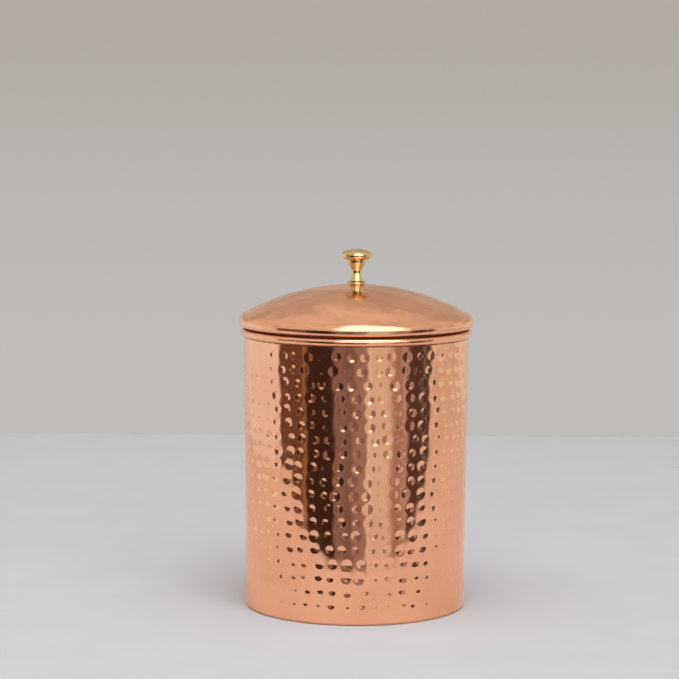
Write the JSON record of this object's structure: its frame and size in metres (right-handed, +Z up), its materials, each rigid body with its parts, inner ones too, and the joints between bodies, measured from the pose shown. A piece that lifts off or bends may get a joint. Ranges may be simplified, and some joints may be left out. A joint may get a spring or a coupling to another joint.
{
  "type": "tea caddy",
  "caption": "Round hammered copper canister with a rolled rim, steel lining, and a lift-off domed lid with a seal and a turned brass knob.",
  "frame": {"origin": "centre of the face that the canister stands on", "axes": "+Z up along the canister's axis, through the knob; the object is round, so +X and +Y are free"},
  "size_m": [0.1514, 0.1514, 0.2309],
  "materials": {
    "hammered_copper": "polished copper, hand hammered",
    "lid_copper": "polished copper, softly planished",
    "base_copper": "satin copper",
    "liner_steel": "satin stainless, spun",
    "wire_steel": "drawn half-round wire",
    "seal_silicone": "matt silicone",
    "knob_brass": "polished, turned",
    "screw_steel": "zinc plated"
  },
  "bodies": {
    "canister": {"body_wall": "hammered_copper", "rim_wire": "wire_steel", "base_plate": "base_copper", "inner_liner": "liner_steel"},
    "seal": {"seal_ring": "seal_silicone"},
    "lid": {"lid_dome": "lid_copper", "lid_pan": "liner_steel", "knob_rosette": "knob_brass", "knob": "knob_brass", "knob_screw": "screw_steel", "lock_washer": "screw_steel", "flat_washer": "screw_steel"}
  },
  "joints": [
    {"name": "lid_lift", "type": "slide", "parent": "canister", "child": "seal", "axis": [0, 0, 1], "range_m": [0, 0.12]},
    {"name": "lid_turn", "type": "hinge", "parent": "seal", "child": "lid", "pos_m": [0, 0, 0.181], "axis": [0, 0, 1], "continuous": true}
  ]
}
